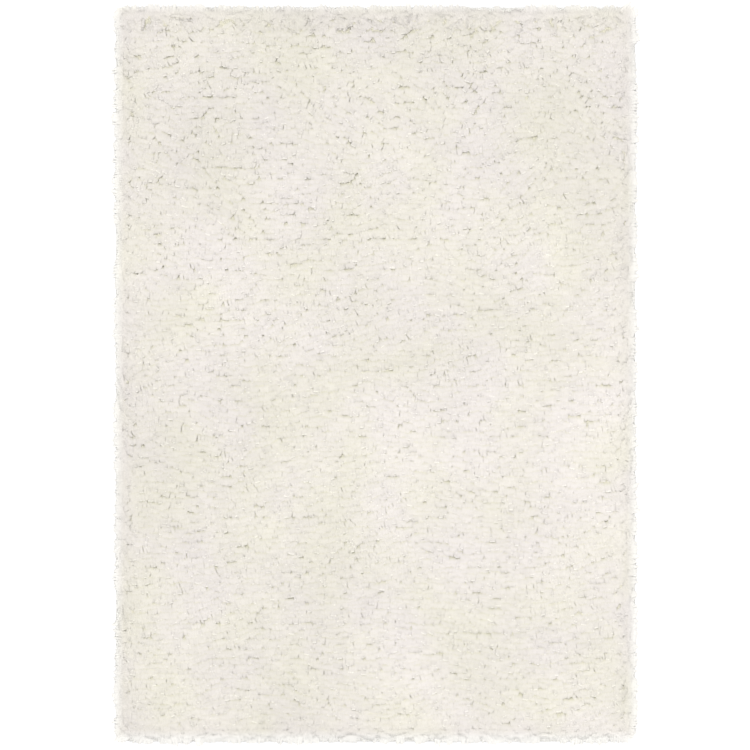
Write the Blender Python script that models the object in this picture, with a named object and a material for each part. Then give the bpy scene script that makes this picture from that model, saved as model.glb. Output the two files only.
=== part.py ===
"""A rectangular shag rug lying flat: woven ground cloth and cut pile in one piece.

Metres, +Z up, origin on the floor under the middle of the rug. X runs across the rug and Y along it.
The pile leans over as a lumpy slab, and its outermost locks splay out past the cloth on all four sides.
"""

import math
import random

import bmesh
import bpy
from mathutils import Vector, noise

# The woven ground cloth, without the pile that spills over it
CLOTH_WIDTH = 1.600
CLOTH_LENGTH = 2.282
CORNER_RADIUS = 0.026

# The lumpy top of the pile: each point of its grid is the crest or the foot of a clump of locks
CELLS_ACROSS = 36
CELLS_ALONG = 52
CELL_JITTER = 0.006
PILE_HEIGHT = 0.0385
LUMP_RISE = 0.0090
LUMP_LEAN = 1.2
CLUMP_RISE = 0.0055
CLUMP_PITCH = 0.110
SWELL_RISE = 0.0030
SWELL_PITCH = 0.400

# The sloping side of the pile, a row for each ring from the crown down to the floor
SIDE_RINGS = (
    # height, how far out from the edge of the cloth, how uneven outwards and upwards
    (0.0310, -0.0050, 0.0050, 0.0070),
    (0.0215, 0.0010, 0.0050, 0.0060),
    (0.0000, -0.0010, 0.0030, 0.0000),
)
CROWN_INSET = 0.020
EDGE_WAVE_PITCH = 0.050

# The locks at the rim, each drawn out of one face of the side and laid on the floor
LOCK_SHARE = 0.78
LOCK_REACH = (0.0140, 0.0235)
LOCK_LEAN = 0.0080
LEAN_PITCH = 0.210
LOCK_RINGS = (
    # how far along the lock, width and height as shares of its root's
    (0.38, 0.66, 0.80),
    (0.78, 0.46, 0.50),
)
TIP_HEIGHT = (0.0015, 0.0050)

SEED = 31
PILE_COLOUR = (0.855, 0.807, 0.737, 1.0)
PILE_ROUGHNESS = 0.85


def clear_scene():
    for old in list(bpy.data.objects):
        bpy.data.objects.remove(old, do_unlink=True)


def pile_material():
    material = bpy.data.materials.new("ivory_pile")
    material.use_nodes = True
    shader = material.node_tree.nodes["Principled BSDF"]
    shader.inputs["Base Color"].default_value = PILE_COLOUR
    shader.inputs["Roughness"].default_value = PILE_ROUGHNESS
    shader.inputs["Metallic"].default_value = 0.0
    return material


def rim_point(x, y, outset):
    """The point of a rounded rectangle, outset from the cloth's edge, that lies out from (x, y)."""
    half = Vector((CLOTH_WIDTH / 2 - CORNER_RADIUS, CLOTH_LENGTH / 2 - CORNER_RADIUS))
    inner = Vector((max(-half.x, min(half.x, x)), max(-half.y, min(half.y, y))))
    away = Vector((x, y)) - inner
    return inner + away.normalized() * (CORNER_RADIUS + outset)


def pile_top(x, y):
    """Height of the leaning pile, with broad swells and the clumps that its locks fall into."""
    swell = noise.noise(Vector((x, y, 0.0)) / SWELL_PITCH)
    clump = noise.noise(Vector((x, y, 7.0)) / CLUMP_PITCH)
    return PILE_HEIGHT + SWELL_RISE * swell + CLUMP_RISE * clump


def lumpy_crown(bm, rng):
    """The crown of the slab: a jittered grid with round corners, each point raised or sunk by its lump."""
    bmesh.ops.create_grid(bm, x_segments=CELLS_ACROSS, y_segments=CELLS_ALONG, size=0.5)
    rim = {v for e in bm.edges if e.is_boundary for v in e.verts}
    for v in bm.verts:
        x = v.co.x * (CLOTH_WIDTH - 2 * CROWN_INSET)
        y = v.co.y * (CLOTH_LENGTH - 2 * CROWN_INSET)
        lump = LUMP_RISE * rng.uniform(-1, 1)
        if v in rim:
            spot = rim_point(x, y, -CROWN_INSET)
            lump /= 2
        else:
            spot = Vector((x + CELL_JITTER * rng.uniform(-1, 1), y + CELL_JITTER * rng.uniform(-1, 1)))
            spot.y -= LUMP_LEAN * lump
        v.co = (spot.x, spot.y, pile_top(spot.x, spot.y) + lump)
    bmesh.ops.subdivide_edges(bm, edges=[e for e in bm.edges if e.is_boundary], cuts=1)


def bearing(spot):
    """The direction of a point from the middle of the rug, which puts the points of a ring in order."""
    return math.atan2(spot.y, spot.x)


def slab_sides(bm, rng):
    """Draws the sides down ring by ring and closes the flat underside. Returns the lowest row of faces."""
    lowest = []
    for height, outset, uneven_out, uneven_up in SIDE_RINGS:
        grown = bmesh.ops.extrude_edge_only(bm, edges=[e for e in bm.edges if e.is_boundary])["geom"]
        ring = [g for g in grown if isinstance(g, bmesh.types.BMVert)]
        for v in sorted(ring, key=lambda v: bearing(v.co)):
            wave = noise.noise(Vector((v.co.x, v.co.y, height)) / EDGE_WAVE_PITCH)
            spot = rim_point(v.co.x, v.co.y, outset + uneven_out * (wave + rng.uniform(-0.5, 0.5)))
            v.co = (spot.x, spot.y, height + uneven_up * rng.uniform(-0.5, 0.5))
        lowest = [g for g in grown if isinstance(g, bmesh.types.BMFace)]
    bmesh.ops.holes_fill(bm, edges=[e for e in bm.edges if e.is_boundary], sides=0)
    bmesh.ops.recalc_face_normals(bm, faces=bm.faces)
    return sorted(lowest, key=lambda f: bearing(f.calc_center_median()))


def grow_lock(bm, face, rng):
    """A four-sided lock drawn out of one face of the side, resting level on the floor and tapered."""
    out = Vector((face.normal.x, face.normal.y, 0)).normalized()
    side = Vector((-out.y, out.x, 0))
    root = face.calc_center_median()
    root.z = 0
    lean = LOCK_LEAN * 2 * noise.noise(Vector((root.x, root.y, 3.0)) / LEAN_PITCH)
    reach = out * rng.uniform(*LOCK_REACH) + side * lean
    corners = [((v.co - root).dot(side), v.co.z) for v in face.verts]
    for along, width, height in LOCK_RINGS:
        face = bmesh.ops.extrude_discrete_faces(bm, faces=[face])["faces"][0]
        for v, (across, up) in zip(face.verts, corners):
            v.co = root + reach * along + side * across * width
            v.co.z = up * height
    tip = bmesh.ops.poke(bm, faces=[face])["verts"][0]
    tip.co = root + reach
    tip.co.z = rng.uniform(*TIP_HEIGHT)


def recentre(bm):
    """Sets the middle of the rug's box over the origin, since no two locks reach equally far."""
    low = Vector([min(v.co[k] for v in bm.verts) for k in range(3)])
    high = Vector([max(v.co[k] for v in bm.verts) for k in range(3)])
    middle = (low + high) / 2
    bmesh.ops.translate(bm, verts=bm.verts, vec=(-middle.x, -middle.y, -low.z))


def shag_rug():
    rng = random.Random(SEED)
    bm = bmesh.new()
    lumpy_crown(bm, rng)
    for face in slab_sides(bm, rng):
        if rng.random() < LOCK_SHARE:
            grow_lock(bm, face, rng)
    recentre(bm)
    bmesh.ops.triangulate(bm, faces=bm.faces, quad_method="SHORT_EDGE", ngon_method="BEAUTY")
    mesh = bpy.data.meshes.new("shag_rug")
    bm.to_mesh(mesh)
    bm.free()
    mesh.shade_smooth()
    mesh.set_sharp_from_angle(angle=math.radians(50))
    mesh.materials.append(pile_material())
    return bpy.data.objects.new("shag_rug", mesh)


clear_scene()
rug = bpy.data.collections.new("shag_rug")
bpy.context.scene.collection.children.link(rug)
rug.objects.link(shag_rug())
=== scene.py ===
"""An ivory shag rug lying flat on a pale floor, seen from straight above.

Metres, +Z up, with the origin on the floor under the middle of the rug. +Y is towards the top of the
picture. That end is called the head of the rug here, and the other end its foot. The height of the pile
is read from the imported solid, and the locks of yarn lie at that height. Near the edge of the ground
cloth the pile is level, and then it rounds off to the floor.
"""

import math
import random

import bmesh
import bpy
import numpy as np
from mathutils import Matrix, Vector, noise
from mathutils.bvhtree import BVHTree


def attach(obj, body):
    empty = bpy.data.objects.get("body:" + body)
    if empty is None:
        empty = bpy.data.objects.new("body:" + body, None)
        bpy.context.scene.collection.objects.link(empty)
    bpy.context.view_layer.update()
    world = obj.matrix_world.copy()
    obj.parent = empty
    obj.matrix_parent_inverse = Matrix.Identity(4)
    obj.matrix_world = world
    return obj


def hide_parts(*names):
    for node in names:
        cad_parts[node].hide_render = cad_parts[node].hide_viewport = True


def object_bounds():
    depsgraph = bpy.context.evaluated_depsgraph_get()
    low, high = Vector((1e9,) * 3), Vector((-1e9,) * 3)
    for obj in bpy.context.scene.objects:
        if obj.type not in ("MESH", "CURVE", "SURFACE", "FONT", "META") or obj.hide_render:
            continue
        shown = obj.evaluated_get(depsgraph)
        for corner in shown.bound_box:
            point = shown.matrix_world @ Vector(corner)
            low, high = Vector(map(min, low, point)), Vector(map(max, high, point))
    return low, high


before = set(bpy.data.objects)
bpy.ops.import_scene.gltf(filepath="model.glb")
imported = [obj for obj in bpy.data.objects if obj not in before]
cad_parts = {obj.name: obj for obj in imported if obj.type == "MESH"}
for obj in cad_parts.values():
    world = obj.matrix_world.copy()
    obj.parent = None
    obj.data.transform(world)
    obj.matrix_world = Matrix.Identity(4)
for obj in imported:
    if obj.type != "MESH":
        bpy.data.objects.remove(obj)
CAD_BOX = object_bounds()

SEED = 7

# The woven ground cloth as it is cut, with its corners rounded off
CLOTH_WIDTH = 1.600
CLOTH_LENGTH = 2.282
CLOTH_CORNER = 0.026
CLOTH_CORNER_STEPS = 6
CLOTH_THICKNESS = 0.003
CLOTH_SHARP = math.radians(40)

# The close mass of yarn at the foot of the pile, which shows only in the gaps between locks
ROOTS_ACROSS = 72
ROOTS_ALONG = 102
ROOTS_SHARE = 0.84
ROOTS_UNEVEN = 0.003
ROOTS_PITCH = 0.030
# Its top ends this far inside the edge of the cloth
ROOTS_INSET = 0.003
# From there it comes down in rings, each this far past the edge of the cloth
ROOTS_RINGS = (0.006, 0.015, 0.024)

# Yarns are three-sided, broad and low, drawn out from bend to bend and cut blunt
YARN_SIDES = 3
YARN_HALF_WIDTH = 0.0045
YARN_HALF_DEPTH = 0.0018
YARN_SHARP = math.radians(85)
# In the crown of the pile a yarn shows from where it leaves the close mass at its foot
CROWN_BENDS = (
    # share of its reach, share of its height, share of its thickness, share of the lock's width
    (0.03, 0.72, 0.85, 0.86),
    (0.48, 1.00, 1.05, 1.00),
    (1.00, 0.96, 0.85, 0.94),
)
# Most crown yarns tuck in under the next locks. Here and there a few stand proud, and their cut ends show
PROUD_BENDS = (
    (0.03, 0.72, 0.85, 0.86),
    (0.62, 1.02, 1.00, 0.98),
    (1.00, 1.05, 0.85, 1.00),
)
# At the rim it is thinner and spreads out as it comes down on the floor
RIM_BENDS = (
    (0.08, 0.74, 0.80, 0.80),
    (0.40, 0.99, 1.00, 0.96),
    (0.72, 0.98, 1.00, 1.02),
    (1.00, 0.80, 0.70, 1.06),
)

# A lock: a few yarns from one tuft that lie over together. Many shapes are made, and each is laid often
LOCK_SHAPES = 32
LOCK_YARNS = 6
LOCK_REACH = 0.033
LOCK_HEIGHT = 0.040
LOCK_WIDTH = 0.033
# A lock's end is rounded and a little aslant, its middle stands above its sides, and it bows to one side
LOCK_ROUNDING = 0.12
LOCK_SLANT = 0.10
LOCK_DOME = 0.015
LOCK_BOW = 0.003
# How each of its yarns strays sideways, in its own bow, in height and in the way up that it lies
YARN_SHIFT = 0.0010
YARN_BOW = 0.0015
YARN_RISE = (0.99, 1.01)
YARN_ROLL = math.radians(20)
# How far its end dips, as a share of its height
DIP = (0.025, 0.075)
# How many yarns of a lock stand proud, side by side: a lock draws one of these
PROUD_RUNS = (0, 0, 0, 0, 1, 2, 3)
# The other yarns end this far along the yarn's colours, so only the proud ones show the pale cut end, which
# is partly a painted highlight
TUCKED_END = 0.8
# How unevenly a lock's yarns are cut, which is more at the rim, where they fray
CROWN_FRAY = 0.06
RIM_FRAY = 0.14
# How far along its colours a rim lock comes into sight, with the shaded foot left behind
RIM_FIRST = 0.35

# Each yarn has a strip of its lock's share of the baked map, with bare margins along it and at its ends.
# In the margins at the ends are its foot and its cut face
MAP_SIDE = 0.05
MAP_ENDS = 0.08
MAP_FOOT_FACE = (0.06, 0.01)
MAP_CUT_FACE = (0.99, 0.94)
MAP_FACE_START = 0.10
MAP_FACE_STEP = 0.35

# The tufts stand in staggered rows, like bricks
TUFT_PITCH = 0.0250
ROW_PITCH = 0.0160
ROW_STAGGER = 0.25
TUFT_JITTER = 0.0035
ROW_JITTER = 0.0055
EDGE_MARGIN = 0.006
CROWN_REACH = (0.85, 1.15)
CROWN_HEIGHT = (0.96, 1.04)

# The way the locks lie: down the picture, swaying over broad patches and from tuft to tuft, more so
# towards the head of the rug
SWAY = math.radians(16)
SWAY_PITCH = 0.26
TUFT_SWAY = math.radians(10)
LOOSER_AT_HEAD = 1.3
# Along the rim they turn outwards, some tufts from further in than others
RIM_BAND = 0.040
RIM_BAND_STRAY = (0.5, 1.6)
RIM_PULL = 1.7
RIM_STRAY = 0.25
# Where they part between the two ways they lie shorter, and a few more stand every way among them
SHORTEST_LEAN = 0.45
PARTING = 0.72
PARTING_FILL = 3
# Along the rim, one more stands beside each of the others too
RIM_FILL_BAND = 0.048
RIM_FILL = 1
FILL_REACH = 0.8
FILL_HEIGHT = (0.9, 1.0)

# Tufts this near the edge are laid as rim locks, and one more close row of long ones stands among them
RIM_TUFTS = 0.012
RIM_TUFT_PITCH = 0.0085
RIM_ROW_INSET = (0.004, 0.034)
RIM_ROW_HEIGHT = (0.80, 1.02)
RIM_ROW_SPLAY = 0.35
# Most of these reach a little past the edge and a few further
RIM_ROW_REACH = 0.016
RIM_ROW_STRAY = 0.020
RIM_ROW_RARITY = 1.6
# At the corners the last few of each side fan out
FAN_TUFTS = 6
FAN_SWING = 0.8
# The other tufts' locks reach no further than about this past the edge
RIM_OVERHANG = (0.000, 0.024)

# The crown of the pile is made in bands across the rug
BANDS = 5
# A yarn's tone is for the most part its lock's
LOCK_TONE = 0.7

# The heights of the pile are read from the solid over a fine grid
HEIGHT_STEP = 0.008
# A point on its far side or past it is read just inside the last cell
LAST_CELL = 1.001
# Its lumps are laid over calmer, because the locks bridge the hollows between them
PILE_LEVEL = 0.0400
CALM_SHARE = 0.55
# The lumps begin this far inside the edge of the cloth and come in over a band. Outside that it is level
LEVEL_INSET = 0.020
LEVEL_BAND = 0.030
# The pile rounds off from just inside the edge of the cloth to a little past it
EDGE_START = -0.026
EDGE_END = 0.038
# No yarn lies lower than this over the floor
FLOOR_GAP = 0.0004

# Each kind of chance noise is read from its own layer
LUMP_LAYER = 5.0
SWAY_LAYER = 11.0


def edge_distance(x, y):
    """How far inside the cloth's edge a point lies."""
    return min(CLOTH_WIDTH / 2 - abs(x), CLOTH_LENGTH / 2 - abs(y))


def corner_centre(x, y):
    """The nearest point to (x, y) of the cloth less its corners' radius all round."""
    half = Vector((CLOTH_WIDTH / 2 - CLOTH_CORNER, CLOTH_LENGTH / 2 - CLOTH_CORNER))
    return Vector((max(-half.x, min(half.x, x)), max(-half.y, min(half.y, y))))


def rim_point(x, y, inset):
    """The point of the cloth's outline, drawn in by an inset, that lies out from (x, y)."""
    inner = corner_centre(x, y)
    return inner + (Vector((x, y)) - inner).normalized() * (CLOTH_CORNER - inset)


def rounded(x, y, inset):
    """A point of the cloth, moved in where it lies outside the outline drawn in by an inset."""
    inner = corner_centre(x, y)
    inside = (Vector((x, y)) - inner).length <= CLOTH_CORNER - inset
    return Vector((x, y)) if inside else rim_point(x, y, inset)


# ---------------------------------------------------------------- finishes


class Reading:
    """What a node gives out. Sums written with it add the Math nodes that work them out."""

    def __init__(self, finish, output):
        self.finish = finish
        self.output = output

    def worked(self, operation, first, second):
        return self.finish.node("ShaderNodeMath", {"operation": operation}, {0: first, 1: second})

    def __add__(self, other):
        return self.worked("ADD", self, other)

    def __radd__(self, other):
        return self.worked("ADD", other, self)

    def __rsub__(self, other):
        return self.worked("SUBTRACT", other, self)

    def __mul__(self, other):
        return self.worked("MULTIPLY", self, other)

    def __truediv__(self, other):
        return self.worked("DIVIDE", self, other)

    def __abs__(self):
        return self.finish.node("ShaderNodeMath", {"operation": "ABSOLUTE"}, {0: self})


# Loose fibres shine little, with a broad sheen
SHEEN_ROUGHNESS = 0.45
SPECULAR_LEVEL = 0.25


class Finish:
    """A procedural material, built up node by node."""

    def __init__(self, name, roughness, sheen):
        self.material = bpy.data.materials.new(name)
        self.material.use_nodes = True
        self.tree = self.material.node_tree
        self.shader = self.tree.nodes["Principled BSDF"]
        self.shader.inputs["Roughness"].default_value = roughness
        self.shader.inputs["Sheen Weight"].default_value = sheen
        self.shader.inputs["Sheen Roughness"].default_value = SHEEN_ROUGHNESS
        self.shader.inputs["Specular IOR Level"].default_value = SPECULAR_LEVEL

    def feed(self, socket, value):
        if isinstance(value, Reading):
            self.tree.links.new(value.output, socket)
        else:
            socket.default_value = value

    def node(self, kind, settings=None, sockets=None, output=0):
        """Adds a node: its settings first, then a value or a link for each socket that is named."""
        made = self.tree.nodes.new(kind)
        for name, value in (settings or {}).items():
            setattr(made, name, value)
        for name, value in (sockets or {}).items():
            self.feed(made.inputs[name], value)
        return Reading(self, made.outputs[output])

    def coloured(self, colour):
        self.feed(self.shader.inputs["Base Color"], colour)

    def place(self):
        return self.node("ShaderNodeTexCoord", output="Object")

    def own_map(self, name):
        return self.node("ShaderNodeUVMap", {"uv_map": name})

    def attribute(self, name):
        return self.node("ShaderNodeAttribute", {"attribute_name": name}, output="Fac")

    def parts(self, vector):
        """The x, y and z of a vector."""
        split = self.node("ShaderNodeSeparateXYZ", sockets={0: vector}).output.node
        return [Reading(self, out) for out in split.outputs]

    def edge(self, slant=0.0):
        """How far inside the cloth's edge the surface lies. A slant counts it less towards the foot."""
        x, y, _ = self.parts(self.place())
        across = CLOTH_WIDTH / 2 - abs(x)
        along = CLOTH_LENGTH / 2 - abs(y) + y * slant
        return self.node("ShaderNodeMath", {"operation": "MINIMUM"}, {0: across, 1: along})

    def cloud(self, size, detail=2.0):
        """Soft noise from 0 to 1, whose patches are about that size in metres."""
        sockets = {"Vector": self.place(), "Scale": 1 / size, "Detail": detail}
        return self.node("ShaderNodeTexNoise", sockets=sockets, output="Fac")

    def ripple(self, phase):
        """A smooth wave from -1 to 1, one for each whole number of its phase."""
        return self.node("ShaderNodeMath", {"operation": "SINE"}, {0: phase * (2 * math.pi)})

    def eased(self, value, span, low=0.0, high=1.0):
        """Goes smoothly from low to high while a value crosses a span."""
        settings = {"interpolation_type": "SMOOTHSTEP"}
        sockets = {"Value": value, "From Min": span[0], "From Max": span[1], "To Min": low, "To Max": high}
        return self.node("ShaderNodeMapRange", settings, sockets)

    def blended(self, share, low, high):
        """Colour low where share is 0 and high where it is 1."""
        return self.node("ShaderNodeMix", {"data_type": "RGBA"}, {0: share, 6: low, 7: high}, output=2)

    def multiplied(self, colour, by):
        """A colour tinted by another."""
        return self.node("ShaderNodeVectorMath", {"operation": "MULTIPLY"}, {0: colour, 1: by})

    def toned(self, colour, amount):
        """A colour made lighter or darker by a number."""
        return self.node("ShaderNodeVectorMath", {"operation": "SCALE"}, {0: colour, "Scale": amount})

    def lifted_normal(self, amount):
        """The surface's direction, turned up by an amount."""
        facing = self.node("ShaderNodeNewGeometry", output="Normal")
        turned = self.node("ShaderNodeVectorMath", {"operation": "ADD"}, {0: facing, 1: (0.0, 0.0, amount)})
        return self.node("ShaderNodeVectorMath", {"operation": "NORMALIZE"}, {0: turned})

    def raised(self, height, depth, lift=0.0):
        """Relief of that depth in metres on the surface."""
        sockets = {"Height": height, "Distance": depth, "Strength": 1.0}
        if lift:
            sockets["Normal"] = self.lifted_normal(lift)
        bump = self.node("ShaderNodeBump", sockets=sockets)
        self.feed(self.shader.inputs["Normal"], bump)


# Ivory yarn from its foot to its cut end, and where along it each colour gives way to the next. The foot
# colour is painted shade: darker and yellower, for the shade deep in the pile
IVORY_FOOT_PAINTED_SHADE = (0.70, 0.68, 0.53, 1.0)
IVORY_MIDDLE = (0.80, 0.767, 0.712, 1.0)
# The cut end is paler, partly for the fluffed fibres of the cut and partly as a painted highlight where it
# catches the light
IVORY_CUT_END_AND_HIGHLIGHT = (0.98, 0.95, 0.875, 1.0)
FOOT_TO_MIDDLE = (0.05, 0.50)
MIDDLE_TO_END = (0.80, 0.92)
# Near the edge light gets to the feet, so they are less yellow there
LIT_FEET = (0.02, 0.07)
LIT_FEET_SHARE = 0.6
# Painted light at the rim: the yarn is painted paler outwards, standing in for the light that comes through
# the thin pile there. It starts from further in at the foot of the rug, where all the locks lie over the
# edge and the rim would lie in shade
RIM_PAINTED_LIGHT_IVORY = (0.97, 0.955, 0.915, 1.0)
RIM_PAINTED_LIGHT_SHARE = 0.8
RIM_PAINTED_LIGHT_SPAN = (-0.030, 0.006)
RIM_PAINTED_LIGHT_SLANT = 0.010
# The dye took unevenly, a little yellower or pinker over broad patches
YELLOWER = (1.00, 1.00, 0.955, 1.0)
PINKER = (1.00, 0.985, 1.015, 1.0)
DYE_PATCH = 0.22
DYE_DETAIL = 4.0
DYE_SPAN = (0.3, 0.7)
# Its lightness, and what a yarn's own tone and broad patches add to that, and the painted shade along its
# twist, darker in the grooves and lighter on the ridges
IVORY_LEVEL = 0.845
TONE_LIGHTER = 0.07
PATCH_LIGHTER = 0.25
TWIST_PAINTED_SHADE = 0.025
LIGHT_PATCH = 0.50
LIGHT_DETAIL = 5.0
# A yarn is a few strands twisted together, of loose fibres
YARN_STRANDS = 3
YARN_TWISTS = 9.0
YARN_RELIEF = 0.0006
TWIST_SHARE = 0.5
FIBRE_PATCH = 0.0012
FIBRE_SPAN = (0.3, 0.7)
FIBRE_ROUGHNESS = (0.62, 0.82)
# How far its surface's direction is turned up, because light passes through loose yarn
YARN_LIFT = 2.5


def ivory_yarn():
    """Soft twisted ivory yarn, with painted shade making it darker and yellower at its foot, and palest at
    its cut end, partly a painted highlight.
    """
    finish = Finish("ivory_yarn", roughness=0.72, sheen=0.25)
    around, along, _ = finish.parts(finish.own_map("yarn"))
    lit_feet = finish.eased(finish.edge(), LIT_FEET, LIT_FEET_SHARE, 0.0)
    # The foot's painted shade, lighter near the edge
    foot = finish.blended(lit_feet, IVORY_FOOT_PAINTED_SHADE, IVORY_MIDDLE)
    upper = finish.blended(finish.eased(along, MIDDLE_TO_END), IVORY_MIDDLE, IVORY_CUT_END_AND_HIGHLIGHT)
    ivory = finish.blended(finish.eased(along, FOOT_TO_MIDDLE), foot, upper)
    dye = finish.blended(finish.eased(finish.cloud(DYE_PATCH, DYE_DETAIL), DYE_SPAN), YELLOWER, PINKER)
    tone = finish.attribute("tone")
    patch = finish.cloud(LIGHT_PATCH, LIGHT_DETAIL)
    twist = finish.ripple(around * YARN_STRANDS + along * YARN_TWISTS)
    # The twist adds painted shade: darker in its grooves, lighter on its ridges
    level = IVORY_LEVEL + tone * TONE_LIGHTER + patch * PATCH_LIGHTER + twist * TWIST_PAINTED_SHADE
    # Painted light: the yarn is painted paler towards the rim
    rim_painted_light = finish.eased(finish.edge(RIM_PAINTED_LIGHT_SLANT), RIM_PAINTED_LIGHT_SPAN, RIM_PAINTED_LIGHT_SHARE, 0.0)
    finish.coloured(finish.blended(rim_painted_light, finish.toned(finish.multiplied(ivory, dye), level), RIM_PAINTED_LIGHT_IVORY))
    fibres = finish.cloud(FIBRE_PATCH)
    finish.raised(twist * TWIST_SHARE + fibres, YARN_RELIEF, YARN_LIFT)
    finish.feed(finish.shader.inputs["Roughness"], finish.eased(fibres, FIBRE_SPAN, *FIBRE_ROUGHNESS))
    return finish.material


# The feet of the yarns, each a small round, their colour painted shade, darker and yellower than the yarn,
# with darker painted shade in the gap about it, and all of them painted paler at the rim
FEET_PITCH = 0.007
FEET_RANDOMNESS = 0.8
FEET_ROUND = (0.15, 0.75)
FEET_GAP_PAINTED_SHADE = (0.74, 0.71, 0.57, 1.0)
FEET_TOP_PAINTED_SHADE = (0.78, 0.75, 0.63, 1.0)
FEET_RELIEF = 0.003
FEET_RIM_PAINTED_LIGHT_SPAN = (-0.024, 0.010)
FEET_RIM_PAINTED_LIGHT_SHARE = 0.9


def root_yarn():
    """The close feet of the yarns, seen end on and in shade: small round tufts, their colour painted shade,
    with darker painted shade in the gaps between them.
    """
    finish = Finish("root_yarn", roughness=0.85, sheen=0.1)
    sockets = {"Vector": finish.place(), "Scale": 1 / FEET_PITCH, "Randomness": FEET_RANDOMNESS}
    from_middle = finish.node("ShaderNodeTexVoronoi", {"feature": "F1"}, sockets, output="Distance")
    round_top = finish.eased(from_middle, FEET_ROUND, 1.0, 0.0)
    # Painted light: the feet are painted paler towards the rim
    rim_painted_light = finish.eased(finish.edge(), FEET_RIM_PAINTED_LIGHT_SPAN, FEET_RIM_PAINTED_LIGHT_SHARE, 0.0)
    # Painted shade: the feet are darker, and darker still in the gaps between them
    finish.coloured(finish.blended(rim_painted_light, finish.blended(round_top, FEET_GAP_PAINTED_SHADE, FEET_TOP_PAINTED_SHADE), RIM_PAINTED_LIGHT_IVORY))
    finish.raised(round_top, FEET_RELIEF)
    return finish.material


# The ground cloth's threads, with the backs of the tufts in spots of latex, and its uneven tone
WEFT_PITCH = 0.0044
WARP_PITCH = 0.0036
THREAD_SHADED = (0.43, 0.36, 0.26, 1.0)
THREAD_LIT = (0.64, 0.57, 0.46, 1.0)
THREAD_SPAN = (0.1, 0.8)
LATEX = (0.72, 0.67, 0.58, 1.0)
LATEX_SPAN = (0.55, 0.95)
CLOTH_LEVEL = 0.93
CLOTH_PATCH = 0.2
CLOTH_LIGHTER = 0.14
CLOTH_RELIEF = 0.0006
WEAVE_SHARE = 0.4


def woven_cloth():
    """The ground cloth: a plain weave of flat beige threads, with the backs of the tufts in rows."""
    finish = Finish("woven_cloth", roughness=0.8, sheen=0.05)
    x, y, _ = finish.parts(finish.place())
    weave = finish.ripple(x / WEFT_PITCH) * finish.ripple(y / WARP_PITCH)
    tufts = finish.ripple(x / TUFT_PITCH) * finish.ripple(y / ROW_PITCH)
    threads = finish.blended(finish.eased(weave * 0.5 + 0.5, THREAD_SPAN), THREAD_SHADED, THREAD_LIT)
    latex = finish.eased(tufts, LATEX_SPAN)
    backs = finish.blended(latex, threads, LATEX)
    finish.coloured(finish.toned(backs, finish.cloud(CLOTH_PATCH) * CLOTH_LIGHTER + CLOTH_LEVEL))
    finish.raised(weave * WEAVE_SHARE + latex, CLOTH_RELIEF)
    return finish.material


def pale_floor():
    """A plain near-white floor."""
    finish = Finish("pale_floor", roughness=0.7, sheen=0.0)
    finish.coloured((0.99, 0.99, 0.99, 1.0))
    return finish.material


# ---------------------------------------------------------------- cloth and roots


def piece(name, bm, finish):
    """A piece of the rug from its bmesh."""
    mesh = bpy.data.meshes.new(name)
    bm.to_mesh(mesh)
    bm.free()
    return laid_out(name, mesh, finish)


def laid_out(name, mesh, finish):
    """A finished piece of the rug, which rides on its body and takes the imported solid's place."""
    mesh.shade_smooth()
    mesh.materials.append(finish)
    made = bpy.data.objects.new(name, mesh)
    bpy.context.scene.collection.objects.link(made)
    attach(made, "root")
    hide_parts("shag_rug")
    return made


def open_edges(bm):
    """The edges with a face on one side only."""
    return [e for e in bm.edges if e.is_boundary]


def new_points(grown):
    """The points among what an operator has made."""
    return [g for g in grown["geom"] if isinstance(g, bmesh.types.BMVert)]


def ground_cloth(finish):
    """The woven sheet that the pile is tufted through, with rounded corners."""
    bm = bmesh.new()
    bmesh.ops.create_grid(bm, x_segments=1, y_segments=1, size=0.5)
    bmesh.ops.scale(bm, vec=(CLOTH_WIDTH, CLOTH_LENGTH, 1), verts=bm.verts)
    bmesh.ops.bevel(
        bm,
        geom=bm.verts[:],
        offset=CLOTH_CORNER,
        segments=CLOTH_CORNER_STEPS,
        profile=0.5,
        affect="VERTICES",
        material=-1,
    )
    raised = new_points(bmesh.ops.extrude_face_region(bm, geom=bm.faces[:]))
    bmesh.ops.translate(bm, vec=(0, 0, CLOTH_THICKNESS), verts=raised)
    bmesh.ops.recalc_face_normals(bm, faces=bm.faces)
    cloth = piece("ground_cloth", bm, finish)
    cloth.data.set_sharp_from_angle(angle=CLOTH_SHARP)
    return cloth


def pile_roots(finish, height):
    """The close foot of the pile: a lumpy cushion lower than the locks, which closes their gaps."""
    bm = bmesh.new()
    bmesh.ops.create_grid(bm, x_segments=ROOTS_ACROSS, y_segments=ROOTS_ALONG, size=0.5)
    for v in bm.verts:
        spot = rounded(v.co.x * CLOTH_WIDTH, v.co.y * CLOTH_LENGTH, ROOTS_INSET)
        lump = noise.noise(Vector((spot.x, spot.y, LUMP_LAYER)) / ROOTS_PITCH)
        v.co = (spot.x, spot.y, ROOTS_SHARE * height.at(spot.x, spot.y) + ROOTS_UNEVEN * lump)
    for outset in ROOTS_RINGS:
        for v in new_points(bmesh.ops.extrude_edge_only(bm, edges=open_edges(bm))):
            spot = rim_point(v.co.x, v.co.y, -outset)
            v.co = (spot.x, spot.y, ROOTS_SHARE * height.at(spot.x, spot.y))
    for v in new_points(bmesh.ops.extrude_edge_only(bm, edges=open_edges(bm))):
        v.co.z = CLOTH_THICKNESS
    bmesh.ops.holes_fill(bm, edges=open_edges(bm), sides=0)
    bmesh.ops.recalc_face_normals(bm, faces=bm.faces)
    return piece("pile_roots", bm, finish)


# ---------------------------------------------------------------- locks of yarn


def end_place(number, corner, rows):
    """Where a corner of a yarn's foot or cut face lies in its lock's share of the baked map."""
    return ((number + MAP_FACE_START + MAP_FACE_STEP * corner) / LOCK_YARNS, rows[corner % 2])


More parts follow.
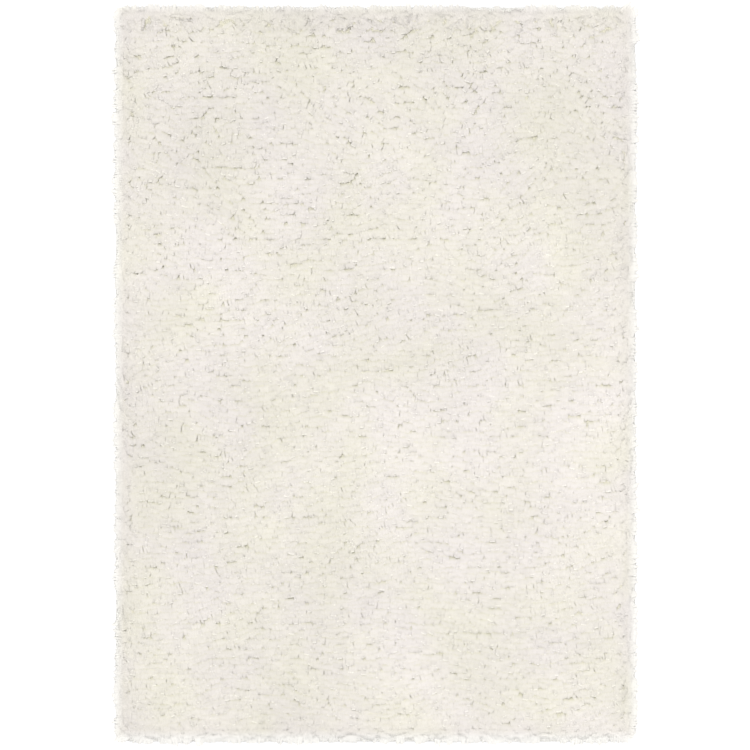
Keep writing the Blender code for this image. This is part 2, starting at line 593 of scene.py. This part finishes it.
def grow_yarn(bm, layers, number, bends, reach, height, across, bow, roll, dip, span):
    """Draws a three-sided yarn out bend by bend from its foot and leaves it cut blunt at its end."""
    lift, yarn_map, kept_map = layers
    marks = {}
    ring = bmesh.ops.create_circle(bm, cap_ends=True, segments=YARN_SIDES, radius=YARN_HALF_WIDTH)["verts"]
    face = ring[0].link_faces[0]
    centres = [
        Vector((out * reach, across * spread + bow * out * out, up * height))
        for out, up, _, spread in bends
    ]
    centres[-1].z -= dip * height
    faces = []
    for n, (centre, bend) in enumerate(zip(centres, bends)):
        if n:
            grown = bmesh.ops.extrude_discrete_faces(bm, faces=[face])["faces"][0]
            faces += [f for e in grown.edges for f in e.link_faces if f is not grown]
            face = grown
        run = (centres[min(n + 1, len(bends) - 1)] - centres[max(n - 1, 0)]).normalized()
        side = Vector((0, 1, 0))
        top = run.cross(side)
        thickness = bend[2]
        for k, v in enumerate(face.verts):
            turn = roll + 2 * math.pi * k / YARN_SIDES
            v.co = centre + side * math.cos(turn) * YARN_HALF_WIDTH * thickness
            v.co += top * math.sin(turn) * YARN_HALF_DEPTH * thickness
            v[lift] = centre.z
            marks[v] = (k, span[0] + (span[1] - span[0]) * n / (len(bends) - 1))
    for f in faces:
        # The face from a yarn's last side to its first runs on to a whole turn
        known = [marks[v][0] for v in f.verts]
        wraps = 0 in known and YARN_SIDES - 1 in known
        for loop in f.loops:
            around, along = marks[loop.vert]
            around = (around + (YARN_SIDES if wraps and around == 0 else 0)) / YARN_SIDES
            strip = MAP_SIDE + (1 - 2 * MAP_SIDE) * around
            loop[yarn_map].uv = (around, along)
            loop[kept_map].uv = ((number + strip) / LOCK_YARNS, MAP_ENDS + (1 - 2 * MAP_ENDS) * along)
    for k, loop in enumerate(face.loops):
        loop[yarn_map].uv = (k / YARN_SIDES, span[1])
        loop[kept_map].uv = end_place(number, k, MAP_CUT_FACE)


def lock_shape(rng, bends, proud_bends, fray, first=0.0):
    """One lock: yarns from the same tuft, side by side, each a little longer, higher or further over."""
    bm = bmesh.new()
    lift = bm.verts.layers.float.new("lift")
    yarn_map = bm.loops.layers.uv.new("yarn")
    kept_map = bm.loops.layers.uv.new("OFBake")
    layers = (lift, yarn_map, kept_map)
    order = list(range(LOCK_YARNS))
    rng.shuffle(order)
    lock_bow = rng.uniform(-LOCK_BOW, LOCK_BOW)
    slant = rng.uniform(-LOCK_SLANT, LOCK_SLANT)
    first_proud = rng.randrange(LOCK_YARNS)
    proud_run = rng.choice(PROUD_RUNS)
    for number in range(LOCK_YARNS):
        share = (order[number] + 0.5) / LOCK_YARNS - 0.5
        across = LOCK_WIDTH * share + rng.uniform(-YARN_SHIFT, YARN_SHIFT)
        cut = 1 + fray * rng.uniform(-1, 1) + slant * 2 * share
        reach = LOCK_REACH * (cut - LOCK_ROUNDING * (2 * share) ** 2)
        bow = lock_bow + rng.uniform(-YARN_BOW, YARN_BOW)
        height = LOCK_HEIGHT * (rng.uniform(*YARN_RISE) - LOCK_DOME * (2 * share) ** 2)
        roll = math.pi / 2 + rng.uniform(-YARN_ROLL, YARN_ROLL)
        proud = first_proud <= order[number] < first_proud + proud_run
        path = proud_bends if proud else bends
        dip = rng.uniform(*DIP)
        span = (first, 1.0 if proud else TUCKED_END)
        grow_yarn(bm, layers, number, path, reach, height, across, bow, roll, dip, span)
    feet = bmesh.ops.holes_fill(bm, edges=open_edges(bm), sides=0)["faces"]
    for number, foot in enumerate(sorted(feet, key=lambda f: f.calc_center_median().y)):
        for k, loop in enumerate(foot.loops):
            loop[yarn_map].uv = (k / 2, 0.0)
            loop[kept_map].uv = end_place(number, k, MAP_FOOT_FACE)
    bmesh.ops.recalc_face_normals(bm, faces=bm.faces)
    mesh = bpy.data.meshes.new("lock_shape")
    bm.to_mesh(mesh)
    bm.free()
    return mesh


def read(items, name, width, kind=float):
    """One value of every item in a mesh as an array."""
    values = np.zeros(len(items) * width, dtype=kind)
    items.foreach_get(name, values)
    return values.reshape(-1, width) if width > 1 else values


class Locks:
    """The lock shapes as arrays, ready to be laid many times over."""

    def __init__(self, meshes):
        self.points = np.array([read(m.vertices, "co", 3) for m in meshes])
        self.lifts = np.array([read(m.attributes["lift"].data, "value", 1) for m in meshes])
        self.corners = np.array([read(m.loops, "vertex_index", 1, int) for m in meshes])
        self.starts = np.array([read(m.polygons, "loop_start", 1, int) for m in meshes])
        self.yarn_maps = np.array([read(m.uv_layers["yarn"].uv, "vector", 2) for m in meshes])
        self.kept_maps = np.array([read(m.uv_layers["OFBake"].uv, "vector", 2) for m in meshes])
        for mesh in meshes:
            bpy.data.meshes.remove(mesh)


class PileHeight:
    """The height of the pile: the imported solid's top, read over a fine grid and rounded off at the rim."""

    def __init__(self, node):
        solid = bmesh.new()
        solid.from_mesh(node.data)
        tree = BVHTree.FromBMesh(solid)
        solid.free()
        low, high = CAD_BOX
        self.low = np.array(low[:2])
        self.count = [int(math.ceil((high[k] - low[k]) / HEIGHT_STEP)) + 1 for k in range(2)]
        self.grid = np.zeros(self.count)
        inside = np.zeros(self.count)
        above = high[2] + 1
        for i in range(self.count[0]):
            for j in range(self.count[1]):
                spot = Vector((low[0] + i * HEIGHT_STEP, low[1] + j * HEIGHT_STEP, above))
                hit = tree.ray_cast(spot, Vector((0, 0, -1)))[0]
                self.grid[i, j] = hit.z if hit else 0.0
                inside[i, j] = (edge_distance(spot.x, spot.y) - LEVEL_INSET) / LEVEL_BAND
        inside = np.clip(inside, 0, 1)
        calm = self.grid + (PILE_LEVEL - self.grid) * CALM_SHARE
        self.grid = PILE_LEVEL * (1 - inside) + calm * inside

    def rounded_off(self, x, y):
        """The share of its height that the pile keeps as it rounds off past the edge of the cloth."""
        over_x = np.maximum(np.abs(x) - CLOTH_WIDTH / 2 + CLOTH_CORNER, 0)
        over_y = np.maximum(np.abs(y) - CLOTH_LENGTH / 2 + CLOTH_CORNER, 0)
        past = np.hypot(over_x, over_y) - CLOTH_CORNER
        share = np.clip((past - EDGE_START) / (EDGE_END - EDGE_START), 0, 1)
        return 1 - share * share * (3 - 2 * share)

    def at(self, x, y):
        """The height at a point, or at each point of two arrays."""
        across = np.clip((x - self.low[0]) / HEIGHT_STEP, 0, self.count[0] - LAST_CELL)
        along = np.clip((y - self.low[1]) / HEIGHT_STEP, 0, self.count[1] - LAST_CELL)
        i, j = across.astype(int), along.astype(int)
        a, b = across - i, along - j
        near = self.grid[i, j] * (1 - a) + self.grid[i + 1, j] * a
        far = self.grid[i, j + 1] * (1 - a) + self.grid[i + 1, j + 1] * a
        return (near * (1 - b) + far * b) * self.rounded_off(x, y)


def lean(x, y, rng):
    """The direction that a lock lies in, and the share of its reach that it keeps."""
    sway = SWAY * 2 * noise.noise(Vector((x, y, SWAY_LAYER)) / SWAY_PITCH)
    loose = 1 + LOOSER_AT_HEAD * max(0.0, 2 * y / CLOTH_LENGTH)
    turn = -math.pi / 2 + sway * loose + TUFT_SWAY * loose * rng.uniform(-1, 1)
    way = Vector((math.cos(turn), math.sin(turn)))
    outward = Vector((0.0, 0.0))
    band = RIM_BAND * rng.uniform(*RIM_BAND_STRAY)
    for k, half in ((0, CLOTH_WIDTH / 2), (1, CLOTH_LENGTH / 2)):
        place = (x, y)[k]
        near = 1 - (half - abs(place)) / band
        if near > 0:
            outward[k] = math.copysign(near * near * (3 - 2 * min(near, 1)), place)
    share = min(1.0, outward.length)
    drawn = way * (1 - share) + outward * RIM_PULL
    stray = (rng.uniform(-RIM_STRAY, RIM_STRAY), rng.uniform(-RIM_STRAY, RIM_STRAY))
    drawn += Vector(stray) * share
    return drawn.normalized(), max(SHORTEST_LEAN, min(1.0, drawn.length))


def tuft_places(rng):
    """Each lock of the rows: its tuft's place (x, y), the way it lies (x, y), and its reach and height."""
    places = []
    across = int((CLOTH_WIDTH - 2 * EDGE_MARGIN) / TUFT_PITCH)
    along = int((CLOTH_LENGTH - 2 * EDGE_MARGIN) / ROW_PITCH)
    for j in range(along + 1):
        stagger = ROW_STAGGER if j % 2 else -ROW_STAGGER
        for i in range(across + 1):
            x = (i + stagger - across / 2) * TUFT_PITCH + TUFT_JITTER * rng.uniform(-1, 1)
            y = (j - along / 2) * ROW_PITCH + ROW_JITTER * rng.uniform(-1, 1)
            way, share = lean(x, y, rng)
            room = (edge_distance(x, y) + rng.uniform(*RIM_OVERHANG)) / LOCK_REACH
            reach = min(share * rng.uniform(*CROWN_REACH), room)
            places.append((x, y, way.x, way.y, reach, rng.uniform(*CROWN_HEIGHT)))
            near_rim = edge_distance(x, y) < RIM_FILL_BAND
            for _ in range(PARTING_FILL if share < PARTING else RIM_FILL if near_rim else 0):
                turn = rng.uniform(0, 2 * math.pi)
                stray = Vector((rng.uniform(-0.5, 0.5), rng.uniform(-0.5, 0.5)))
                spot = Vector((x, y)) + TUFT_PITCH * stray
                height = rng.uniform(*FILL_HEIGHT)
                places.append((spot.x, spot.y, math.cos(turn), math.sin(turn), FILL_REACH, height))
    return places


def rim_places(rng):
    """The locks of the last row, close along the edge, which splay out over the floor."""
    places = []
    half = Vector((CLOTH_WIDTH / 2, CLOTH_LENGTH / 2))
    corners = [Vector((half.x * sx, half.y * sy)) for sx, sy in ((-1, -1), (1, -1), (1, 1), (-1, 1))]
    for start, end in zip(corners, corners[1:] + corners[:1]):
        count = int((end - start).length / RIM_TUFT_PITCH)
        side = (end - start).normalized()
        out = Vector((side.y, -side.x))
        for n in range(count):
            inset = rng.uniform(*RIM_ROW_INSET)
            spot = start + (end - start) * (n + rng.random()) / count - out * inset
            fan = FAN_SWING * max(0.0, 1 - min(n, count - n) / FAN_TUFTS)
            swing = side * (-fan if n < count / 2 else fan)
            way = (out + side * rng.uniform(-RIM_ROW_SPLAY, RIM_ROW_SPLAY) + swing).normalized()
            past = RIM_ROW_REACH + RIM_ROW_STRAY * rng.random() ** RIM_ROW_RARITY
            height = rng.uniform(*RIM_ROW_HEIGHT)
            places.append((spot.x, spot.y, way.x, way.y, (inset + past) / LOCK_REACH, height))
    return places


def laid_locks(name, locks, places, height, rng, finish):
    """Part of the pile: every lock in it turned, raised to the pile's height and joined in one mesh."""
    shapes = rng.integers(len(locks.points), size=len(places))
    x, y, way_x, way_y, long, tall = (places[:, k, None] for k in range(6))
    points = locks.points[shapes]
    lifts = locks.lifts[shapes]
    along, across = points[:, :, 0] * long, points[:, :, 1]
    out_x = x + along * way_x - across * way_y
    out_y = y + along * way_y + across * way_x
    # A yarn's middle line follows the pile's height, and its thickness stays
    level = height.at(out_x, out_y) / LOCK_HEIGHT * tall
    out_z = np.maximum(points[:, :, 2] + lifts * (level - 1), FLOOR_GAP)
    laid, size = lifts.shape
    shift = np.arange(laid)[:, None]
    corners = locks.corners[shapes] + shift * size
    starts = locks.starts[shapes] + shift * locks.corners.shape[1]
    # Each lock has a square of its own in the baked map
    cells = int(math.ceil(math.sqrt(laid)))
    cell = np.stack([shift % cells, shift // cells], axis=-1)
    kept = (locks.kept_maps[shapes] + cell) / cells
    mesh = bpy.data.meshes.new(name)
    mesh.vertices.add(laid * size)
    mesh.vertices.foreach_set("co", np.stack([out_x, out_y, out_z], axis=-1).ravel())
    mesh.loops.add(corners.size)
    mesh.loops.foreach_set("vertex_index", corners.ravel())
    mesh.polygons.add(starts.size)
    mesh.polygons.foreach_set("loop_start", starts.ravel())
    mesh.update(calc_edges=True)
    mesh.uv_layers.new(name="yarn").uv.foreach_set("vector", locks.yarn_maps[shapes].ravel())
    mesh.uv_layers.new(name="OFBake").uv.foreach_set("vector", kept.ravel())
    tones = rng.random((laid, 1)) * LOCK_TONE + rng.random((laid, LOCK_YARNS)) * (1 - LOCK_TONE)
    tones = np.repeat(tones.ravel(), size // LOCK_YARNS)
    mesh.attributes.new("tone", "FLOAT", "POINT").data.foreach_set("value", tones)
    mesh.validate()
    laid_piece = laid_out(name, mesh, finish)
    mesh.set_sharp_from_angle(angle=YARN_SHARP)
    return laid_piece


def pile(finish, height):
    """All the locks: the crown in bands from the foot of the rug to its head, and then the rim."""
    rng = random.Random(SEED)
    draws = np.random.default_rng(SEED)
    crown_shapes = [lock_shape(rng, CROWN_BENDS, PROUD_BENDS, CROWN_FRAY) for _ in range(LOCK_SHAPES)]
    rim_shapes = [lock_shape(rng, RIM_BENDS, RIM_BENDS, RIM_FRAY, RIM_FIRST) for _ in range(LOCK_SHAPES)]
    crown_locks, rim_locks = Locks(crown_shapes), Locks(rim_shapes)
    tufts = tuft_places(rng)
    crown = sorted((t for t in tufts if edge_distance(t[0], t[1]) >= RIM_TUFTS), key=lambda t: t[1])
    rim = [t for t in tufts if edge_distance(t[0], t[1]) < RIM_TUFTS] + rim_places(rng)
    pieces = []
    for n, places in enumerate(np.array_split(np.array(crown), BANDS)):
        pieces.append(laid_locks(f"pile_band_{n + 1}", crown_locks, places, height, draws, finish))
    pieces.append(laid_locks("pile_rim", rim_locks, np.array(rim), height, draws, finish))
    return pieces


# ---------------------------------------------------------------- floor, light and camera

LIGHTS = (
    # name, place, side, power
    ("head_light", (-3.5, 11.0, 15.0), 5.0, 1650),
    ("foot_light", (0.0, -10.0, 14.0), 5.0, 1000),
    ("near_light", (1.3, -0.7, 4.6), 1.6, 45),
)
SURROUND = (1.0, 1.0, 1.0, 1.0)
SURROUND_STRENGTH = 0.42
FLOOR_REACH = 12

# The camera looks straight down, and the rug is as large in its picture as in the photograph
CAMERA_PLACE = (-0.0016, -0.0012, 8.94)
CAMERA_LENS = 135
CAMERA_SENSOR = 36
CAMERA_SIGHT = 50


def soft_box(name, place, side, power):
    """A square soft light, turned towards the middle of the rug."""
    lamp = bpy.data.lights.new(name, "AREA")
    lamp.shape = "SQUARE"
    lamp.size = side
    lamp.energy = power
    light = bpy.data.objects.new(name, lamp)
    light.location = place
    light.rotation_euler = Vector(place).to_track_quat("Z", "Y").to_euler()
    bpy.context.scene.collection.objects.link(light)


def studio():
    """A pale floor, soft lights over the rug's head, foot and right side, and a white surround."""
    bm = bmesh.new()
    bmesh.ops.create_grid(bm, x_segments=1, y_segments=1, size=FLOOR_REACH)
    mesh = bpy.data.meshes.new("floor")
    bm.to_mesh(mesh)
    bm.free()
    mesh.materials.append(pale_floor())
    floor = bpy.data.objects.new("floor", mesh)
    bpy.context.scene.collection.objects.link(floor)

    for name, place, side, power in LIGHTS:
        soft_box(name, place, side, power)

    world = bpy.data.worlds.new("white_surround")
    world.use_nodes = True
    backdrop = world.node_tree.nodes["Background"]
    backdrop.inputs["Color"].default_value = SURROUND
    backdrop.inputs["Strength"].default_value = SURROUND_STRENGTH
    bpy.context.scene.world = world
    return floor


def camera():
    """A long lens over the middle of the rug."""
    lens = bpy.data.cameras.new("camera")
    lens.lens = CAMERA_LENS
    lens.sensor_width = CAMERA_SENSOR
    lens.clip_end = CAMERA_SIGHT
    eye = bpy.data.objects.new("camera", lens)
    eye.location = CAMERA_PLACE
    bpy.context.scene.collection.objects.link(eye)
    bpy.context.scene.camera = eye
    bpy.context.scene.view_settings.view_transform = "Standard"


camera()
floor = studio()
height = PileHeight(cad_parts["shag_rug"])
roots = pile_roots(root_yarn(), height)
bands = pile(ivory_yarn(), height)
cloth = ground_cloth(woven_cloth())
